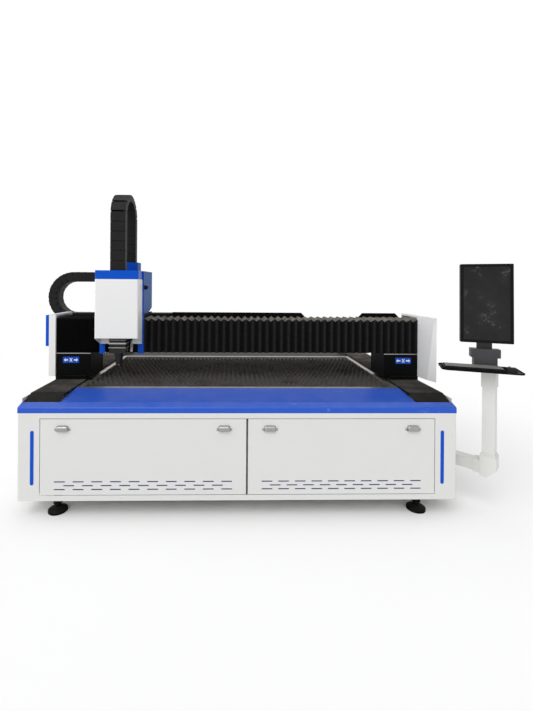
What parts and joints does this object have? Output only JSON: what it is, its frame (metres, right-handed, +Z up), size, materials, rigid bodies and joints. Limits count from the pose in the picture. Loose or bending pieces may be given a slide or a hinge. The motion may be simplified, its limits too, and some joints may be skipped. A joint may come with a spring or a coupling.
{
  "type": "fiber laser cutting machine",
  "caption": "Flat-bed fiber laser cutter: white cabinet with scrap drawers, saw-tooth slat bed, bellows-covered gantry, cutting head with cable chains, and a screen on a jointed arm.",
  "frame": {"origin": "middle of the bounding box, on the floor under the levelling feet", "axes": "+X along the front towards the operator's console, +Y from the front to the back, +Z up"},
  "size_m": [3.7824, 2.3726, 2.4155],
  "materials": {
    "white_paint": "satin",
    "blue_paint": "satin",
    "black_paint": "satin",
    "grey_paint": "satin",
    "steel": "brushed",
    "zinc": "satin",
    "bellows": "matte",
    "chain_plastic": "matte",
    "head_metal": "satin",
    "copper": "satin",
    "dark_plastic": "matte",
    "screen_glass": "gloss"
  },
  "bodies": {
    "base": {"base_frame": "grey_paint", "front_panel": "white_paint", "accent_strips": "blue_paint", "side_panels": "white_paint", "back_panel": "white_paint", "front_apron": "blue_paint", "rear_deck": "black_paint", "bed_rim": "steel", "saw_slats": "steel", "bellows_end_plates": "black_paint", "y_rails": "steel", "y_racks": "steel", "y_bellows_front": "bellows", "y_bellows_rear": "bellows", "levelling_feet": "black_paint", "arm_bracket": "grey_paint"},
    "drawer_left": {"drawer_front_left": "white_paint", "scrap_tray_left": "steel", "pulls_left": "zinc"},
    "drawer_right": {"drawer_front_right": "white_paint", "scrap_tray_right": "steel", "pulls_right": "zinc"},
    "gantry": {"gantry_beam": "black_paint", "gantry_legs": "black_paint", "end_cover_left": "white_paint", "end_cover_right": "white_paint", "end_bar": "blue_paint", "y_guide_blocks": "steel", "y_motors": "black_paint", "x_rails": "steel", "x_rack": "steel", "chain_trough": "black_paint", "x_chain": "chain_plastic", "x_bellows_left": "bellows", "x_bellows_right": "bellows"},
    "left_drive": {"y_pinion_left": "steel"},
    "right_drive": {"y_pinion_right": "steel"},
    "carriage": {"carriage_frame": "black_paint", "x_guide_blocks": "steel", "carriage_housing": "blue_paint", "x_motor": "black_paint", "z_rails": "steel", "z_motor": "black_paint", "z_chain": "chain_plastic"},
    "carriage_drive": {"x_pinion": "steel"},
    "head": {"z_plate": "steel", "head_cover": "white_paint", "head_cap": "blue_paint", "cutting_head": "head_metal", "nozzle": "copper"},
    "arm": {"arm_tube": "grey_paint", "knee": "grey_paint", "column": "grey_paint"},
    "console": {"console_tray": "black_paint", "keyboard": "dark_plastic", "mouse": "dark_plastic", "monitor_bracket": "dark_plastic"},
    "monitor": {"monitor_case": "dark_plastic", "screen": "screen_glass"}
  },
  "joints": [
    {"name": "gantry_travel", "type": "slide", "parent": "base", "child": "gantry", "axis": [0, 1, 0], "range_m": [-0.09, 1.15], "deforming": ["y_bellows_front", "y_bellows_rear"]},
    {"name": "carriage_travel", "type": "slide", "parent": "gantry", "child": "carriage", "axis": [1, 0, 0], "range_m": [-0.22, 2.19], "deforming": ["x_bellows_left", "x_bellows_right", "x_chain"]},
    {"name": "head_lift", "type": "slide", "parent": "carriage", "child": "head", "axis": [0, 0, 1], "range_m": [-0.12, 0.03], "deforming": ["z_chain"]},
    {"name": "drawer_left_pull", "type": "slide", "parent": "base", "child": "drawer_left", "axis": [0, -1, 0], "range_m": [0, 0.9]},
    {"name": "drawer_right_pull", "type": "slide", "parent": "base", "child": "drawer_right", "axis": [0, -1, 0], "range_m": [0, 0.9]},
    {"name": "left_pinion_spin", "type": "hinge", "parent": "gantry", "child": "left_drive", "pos_m": [-1.47702, -0.31266, 0.79], "axis": [0, 0, 1], "continuous": true},
    {"name": "right_pinion_spin", "type": "hinge", "parent": "gantry", "child": "right_drive", "pos_m": [1.23718, -0.31266, 0.79], "axis": [0, 0, 1], "continuous": true},
    {"name": "carriage_pinion_spin", "type": "hinge", "parent": "carriage", "child": "carriage_drive", "pos_m": [-1.10892, -0.23906, 1.31], "axis": [0, 0, 1], "continuous": true},
    {"name": "arm_swing", "type": "hinge", "parent": "base", "child": "arm", "pos_m": [1.49108, -0.72566, 0.325], "axis": [0, 0, 1], "range_deg": [-15, 60]},
    {"name": "console_swivel", "type": "hinge", "parent": "arm", "child": "console", "pos_m": [1.72442, -0.959, 1.042], "axis": [0, 0, -1], "range_deg": [-45, 10]},
    {"name": "monitor_tilt", "type": "hinge", "parent": "console", "child": "monitor", "pos_m": [1.70315, -0.92513, 1.512], "axis": [0.9336, -0.3584, 0], "range_deg": [-9, 4]}
  ],
  "couplings": [
    {"joint": "left_pinion_spin", "follows": "gantry_travel", "rad_per_m": 33.333},
    {"joint": "right_pinion_spin", "follows": "gantry_travel", "rad_per_m": -33.333},
    {"joint": "carriage_pinion_spin", "follows": "carriage_travel", "rad_per_m": 33.333}
  ]
}
